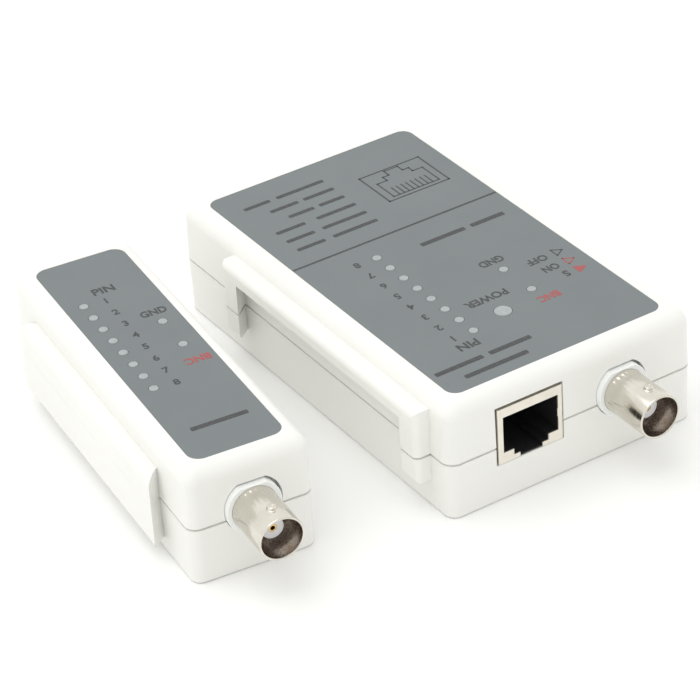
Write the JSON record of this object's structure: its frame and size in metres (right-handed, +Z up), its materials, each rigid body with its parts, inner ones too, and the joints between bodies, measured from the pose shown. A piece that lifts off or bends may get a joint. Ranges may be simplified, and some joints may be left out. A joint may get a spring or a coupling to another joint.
{
  "type": "network cable tester",
  "caption": "Two-piece network cable tester: main box with RJ45 and BNC jacks, lamps, slide switch and battery door, and a narrow remote box that docks on its side.",
  "frame": {"origin": "middle of the main unit's base, on the table", "axes": "+Z up; -Y out of the connector face with the RJ45 and BNC jacks; +X towards the side with the power switch; the remote lies on the -X side"},
  "size_m": [0.1175, 0.1164, 0.0267],
  "materials": {
    "case_plastic": "fine satin-matte moulded ABS, warm white",
    "label_print": "satin printed polyester sheet, mid grey",
    "led_lens": "frosted light-grey lamp windows",
    "board": "green solder mask on glass fibre",
    "nickel": "bright nickel plate",
    "tin_sheet": "satin tinned sheet",
    "gold": "gold plated contacts",
    "black_plastic": "black moulded plastic",
    "white_plastic": "cool white moulded plastic",
    "dielectric": "translucent white dielectric",
    "screw_steel": "zinc-plated steel",
    "battery_jacket": "plain printed metal jacket, stands in for the whole cell's density",
    "red_insulation": "soft PVC",
    "black_insulation": "soft PVC",
    "chip_body": "black epoxy",
    "lead_wire": "tinned wire",
    "resistor_body": "lacquered tan",
    "diode_body": "amber glass",
    "capacitor_can": "dark sleeved can",
    "knob_plastic": "black moulded knob"
  },
  "bodies": {
    "main": {"main_upper_shell": "case_plastic", "main_lower_shell": "case_plastic", "main_label": "label_print", "main_case_screws": "screw_steel", "main_board_screws": "screw_steel", "main_circuit_board": "board", "main_rj45_shield": "tin_sheet", "main_rj45_housing": "black_plastic", "main_rj45_contacts": "gold", "main_bnc_base": "white_plastic", "main_bnc_barrel": "nickel", "main_bnc_insulator": "dielectric", "main_bnc_centre_contact": "gold", "main_pin_leds": "led_lens", "main_gnd_led": "led_lens", "main_bnc_led": "led_lens", "main_power_led": "led_lens", "power_switch_frame": "tin_sheet", "battery_9v": "battery_jacket", "battery_terminals": "nickel", "battery_snap_clip": "black_plastic", "battery_lead_red": "red_insulation", "battery_lead_black": "black_insulation", "main_counter_chip": "chip_body", "main_timer_chip": "chip_body", "main_chip_legs": "lead_wire", "main_resistors": "resistor_body", "main_capacitors": "capacitor_can"},
    "power_switch": {"power_switch_knob": "knob_plastic"},
    "battery_door": {"battery_door": "case_plastic"},
    "remote": {"remote_upper_shell": "case_plastic", "remote_lower_shell": "case_plastic", "remote_label": "label_print", "remote_case_screws": "screw_steel", "remote_board_screws": "screw_steel", "remote_circuit_board": "board", "remote_rj45_shield": "tin_sheet", "remote_rj45_housing": "black_plastic", "remote_rj45_contacts": "gold", "remote_bnc_base": "white_plastic", "remote_bnc_barrel": "nickel", "remote_bnc_insulator": "dielectric", "remote_bnc_centre_contact": "gold", "remote_pin_leds": "led_lens", "remote_gnd_led": "led_lens", "remote_bnc_led": "led_lens", "remote_diodes": "diode_body", "remote_resistors": "resistor_body"}
  },
  "joints": [
    {"name": "power_switch_slide", "type": "slide", "parent": "main", "child": "power_switch", "axis": [0, -1, 0], "range_m": [0, 0.00825]},
    {"name": "battery_door_slide", "type": "slide", "parent": "main", "child": "battery_door", "axis": [0, 1, 0], "range_m": [0, 0.03]},
    {"name": "remote_lift", "type": "slide", "parent": "main", "child": "remote", "axis": [0, 0, 1], "range_m": [0, 0.06]}
  ]
}
